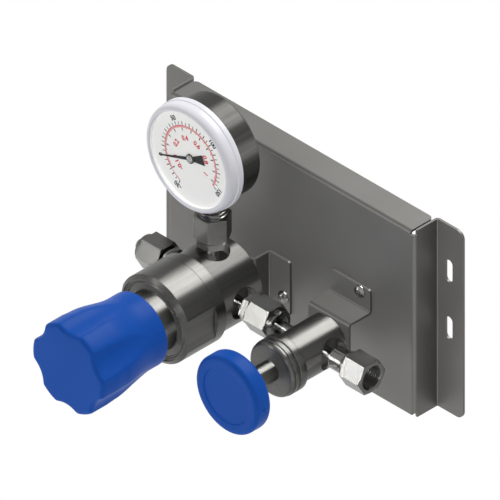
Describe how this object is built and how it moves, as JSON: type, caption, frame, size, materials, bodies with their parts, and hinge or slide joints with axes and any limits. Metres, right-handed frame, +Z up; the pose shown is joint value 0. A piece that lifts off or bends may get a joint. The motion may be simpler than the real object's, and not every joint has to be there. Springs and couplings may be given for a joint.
{
  "type": "gas regulator panel",
  "caption": "Wall panel of bent sheet carrying a gas pressure regulator with its gauge, piped by face seal fittings to a diaphragm shut-off valve.",
  "frame": {"origin": "centre of the four wall slots, in the wall plane at the backs of the mounting flanges", "axes": "+X to the user's right along the panel, +Y into the wall, +Z up; the user stands on the -Y side"},
  "size_m": [0.233, 0.1635, 0.1699],
  "materials": {
    "panel_sheet": "satin bead-blasted stainless sheet",
    "turned_steel": "turned stainless, bright streaks",
    "polished_steel": "polished stainless hexagons",
    "tube_steel": "electropolished stainless tube",
    "screw_steel": "plain stainless screw",
    "spring_steel": "spring wire",
    "soft_seat": "fluoropolymer seat",
    "blue_plastic": "moulded, fine matt",
    "white_plastic": "moulded white bezel",
    "dial_face": "matt white dial with plain numbers",
    "pointer_black": "matt black",
    "window_clear": "clear window",
    "rubber_seal": "seal",
    "movement_brass": "gauge movement"
  },
  "bodies": {
    "panel": {"mounting_panel": "panel_sheet", "regulator_bracket": "panel_sheet", "valve_bracket": "panel_sheet", "bracket_screws": "screw_steel", "bracket_nuts": "screw_steel", "regulator_body_screws": "screw_steel", "valve_body_screws": "screw_steel", "regulator_body": "turned_steel", "cap_nut": "turned_steel", "bonnet": "turned_steel", "diaphragm": "spring_steel", "poppet_seat": "soft_seat", "seat_retainer": "turned_steel", "poppet_spring": "spring_steel", "range_spring": "spring_steel", "regulator_inlet_gland": "tube_steel", "regulator_outlet_gland": "tube_steel", "regulator_gauge_gland": "tube_steel", "male_nuts": "polished_steel", "face_gaskets": "spring_steel", "inlet_nut": "polished_steel", "link_nut": "polished_steel", "gauge_nut": "polished_steel", "inlet_weld_gland": "tube_steel", "valve_inlet_gland": "tube_steel", "valve_outlet_gland": "tube_steel", "valve_body": "turned_steel", "valve_seat": "soft_seat", "valve_diaphragm": "spring_steel", "valve_bonnet_nut": "turned_steel", "valve_bonnet": "turned_steel", "gauge_socket": "turned_steel", "gauge_case": "turned_steel", "blowout_plug": "rubber_seal", "dial": "dial_face", "window_gasket": "soft_seat", "window": "window_clear", "bezel": "white_plastic", "bourdon_tube": "movement_brass", "movement_plates": "movement_brass"},
    "spring_pusher": {"upper_spring_seat": "turned_steel", "thrust_ball": "polished_steel"},
    "knob": {"knob": "blue_plastic", "adjusting_screw": "turned_steel"},
    "poppet": {"lower_spring_seat": "turned_steel", "poppet": "turned_steel"},
    "valve_button": {"valve_button": "movement_brass"},
    "handwheel": {"handwheel": "blue_plastic", "handwheel_set_screw": "screw_steel", "valve_stem": "turned_steel"},
    "outlet_nut": {"outlet_nut": "polished_steel"},
    "pointer": {"pointer": "pointer_black", "pinion_shaft": "movement_brass"},
    "sector": {"sector_gear": "movement_brass"},
    "link": {"sector_link": "movement_brass"}
  },
  "joints": [
    {"name": "knob_turn", "type": "hinge", "parent": "spring_pusher", "child": "knob", "pos_m": [-0.0326, -0.12, -0.0361], "axis": [0, 1, 0], "range_deg": [0, 2250]},
    {"name": "spring_seat_slide", "type": "slide", "parent": "panel", "child": "spring_pusher", "axis": [0, 1, 0], "range_m": [0, 0.00782], "deforming": ["range_spring"]},
    {"name": "poppet_slide", "type": "slide", "parent": "panel", "child": "poppet", "axis": [0, 1, 0], "range_m": [0, 0.0008], "stiffness_N_per_m": 2000, "deforming": ["poppet_spring", "diaphragm", "range_spring"]},
    {"name": "handwheel_turn", "type": "hinge", "parent": "valve_button", "child": "handwheel", "pos_m": [0.0477, -0.1, -0.0361], "axis": [0, 1, 0], "range_deg": [0, 450]},
    {"name": "valve_button_slide", "type": "slide", "parent": "panel", "child": "valve_button", "axis": [0, 1, 0], "range_m": [0, 0.00125], "deforming": ["valve_diaphragm"]},
    {"name": "outlet_nut_spin", "type": "hinge", "parent": "panel", "child": "outlet_nut", "pos_m": [0.0827, -0.0491, -0.0361], "axis": [1, 0, 0], "continuous": true},
    {"name": "pointer_turn", "type": "hinge", "parent": "panel", "child": "pointer", "pos_m": [-0.0326, -0.06, 0.0592], "axis": [0, 1, 0], "range_deg": [-22.5, 229.3], "stiffness_Nm_per_rad": 0.0005, "deforming": ["bourdon_tube"]},
    {"name": "sector_turn", "type": "hinge", "parent": "panel", "child": "sector", "pos_m": [-0.03552, -0.056, 0.04266], "axis": [0, 1, 0], "range_deg": [-38.3, 3.8]},
    {"name": "link_turn", "type": "hinge", "parent": "sector", "child": "link", "pos_m": [-0.03126, -0.057, 0.04119], "axis": [0, 1, 0], "range_deg": [-3.8, 38.3]}
  ],
  "couplings": [
    {"joint": "spring_seat_slide", "follows": "knob_turn", "m_per_rad": 0.00019894},
    {"joint": "valve_button_slide", "follows": "handwheel_turn", "m_per_rad": 0.00015915},
    {"joint": "sector_turn", "follows": "pointer_turn", "ratio": -0.16667},
    {"joint": "link_turn", "follows": "pointer_turn", "ratio": 0.16667}
  ]
}
